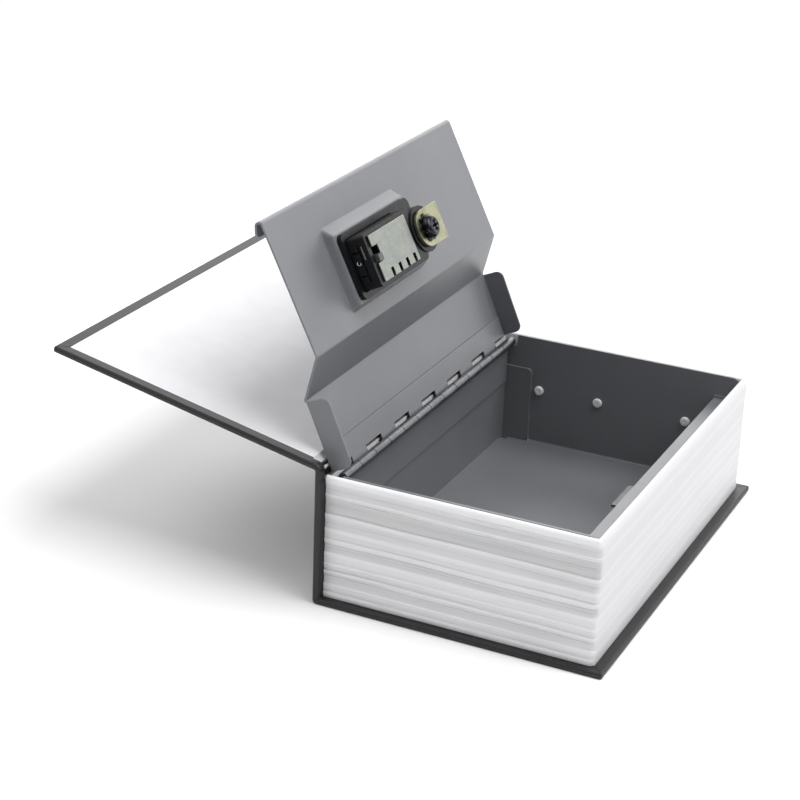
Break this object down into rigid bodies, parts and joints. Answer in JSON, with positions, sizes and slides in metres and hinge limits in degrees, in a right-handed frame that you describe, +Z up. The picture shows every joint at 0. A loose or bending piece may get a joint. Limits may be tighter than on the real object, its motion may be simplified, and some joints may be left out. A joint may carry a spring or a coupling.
{
  "type": "book diversion safe",
  "caption": "Lockable steel box with a folded lid and a combination lock, hidden in the case of a hardback book and standing open with its cover folded back.",
  "frame": {"origin": "centre of the back cover's underside", "axes": "+X from the spine to the fore-edge, +Y from the tail of the book to its head, +Z up through the book"},
  "size_m": [0.2295, 0.18, 0.1429],
  "materials": {
    "book_cloth": "dark matt book cloth",
    "greyboard": "plain greyboard",
    "endpaper": "smooth white paper",
    "page_plastic": "white moulded plastic with page lines",
    "grey_powder_coat": "grey fine-textured powder coat on sheet steel",
    "dark_steel": "dark grey coated steel",
    "hinge_steel": "drawn steel strip",
    "white_rivet": "white nylon",
    "black_plastic": "black moulded plastic",
    "zinc": "zinc-plated steel with a faint yellow-green tint",
    "black_steel": "blackened steel",
    "dial_plastic": "black moulded wheels with white numbers"
  },
  "bodies": {
    "box": {"case_cloth": "book_cloth", "back_board": "greyboard", "spine_board": "greyboard", "back_endpaper": "endpaper", "spine_lining": "endpaper", "cover_joint": "book_cloth", "page_block": "page_plastic", "steel_tray": "grey_powder_coat", "strike_bracket": "dark_steel", "head_rivet_1": "white_rivet", "head_rivet_2": "white_rivet", "head_rivet_3": "white_rivet", "tail_rivet_1": "white_rivet", "tail_rivet_2": "white_rivet", "tail_rivet_3": "white_rivet", "fore_rivet_1": "white_rivet", "fore_rivet_2": "white_rivet", "tray_hinge_leaf": "hinge_steel", "hinge_pin": "hinge_steel"},
    "front_cover": {"front_cover_cloth": "book_cloth", "front_board": "greyboard", "front_endpaper": "endpaper"},
    "lid": {"lid_panel": "grey_powder_coat", "lid_hinge_leaf": "hinge_steel", "lock_housing": "black_plastic", "lock_frame": "black_plastic", "lock_back_plate": "zinc", "dial_axle": "zinc", "blocking_bar": "zinc", "click_spring": "zinc"},
    "dial_1": {"dial_wheel_1": "dial_plastic", "code_ring_1": "zinc"},
    "dial_2": {"dial_wheel_2": "dial_plastic", "code_ring_2": "zinc"},
    "dial_3": {"dial_wheel_3": "dial_plastic", "code_ring_3": "zinc"},
    "knob": {"lock_knob": "black_plastic", "knob_spindle": "zinc", "cam": "zinc", "star_washer": "black_steel", "cam_screw": "black_steel"},
    "lever": {"reset_lever": "dark_steel"}
  },
  "joints": [
    {"name": "lid_hinge", "type": "hinge", "parent": "box", "child": "lid", "pos_m": [-0.0516, 0, 0.0493], "axis": [0, 1, 0], "range_deg": [0, 113.8]},
    {"name": "cover_hinge", "type": "hinge", "parent": "box", "child": "front_cover", "pos_m": [-0.058, 0, 0.055], "axis": [0, 1, 0], "range_deg": [0, 168.2], "deforming": ["cover_joint"]},
    {"name": "dial_1_turn", "type": "hinge", "parent": "lid", "child": "dial_1", "pos_m": [-0.0676, -0.02845, 0.1179], "axis": [0, 1, 0], "continuous": true},
    {"name": "dial_2_turn", "type": "hinge", "parent": "lid", "child": "dial_2", "pos_m": [-0.0676, -0.02175, 0.1179], "axis": [0, 1, 0], "continuous": true},
    {"name": "dial_3_turn", "type": "hinge", "parent": "lid", "child": "dial_3", "pos_m": [-0.0676, -0.01505, 0.1179], "axis": [0, 1, 0], "continuous": true},
    {"name": "knob_turn", "type": "hinge", "parent": "lid", "child": "knob", "pos_m": [-0.07243, 0.001, 0.11547], "axis": [0.8934, 0, 0.4493], "range_deg": [0, 90]},
    {"name": "lever_slide", "type": "slide", "parent": "lid", "child": "lever", "axis": [-0.4493, 0, 0.8934], "range_m": [0, 0.003]}
  ],
  "couplings": [
    {"joint": "cover_hinge", "follows": "lid_hinge", "ratio": 1.478}
  ]
}
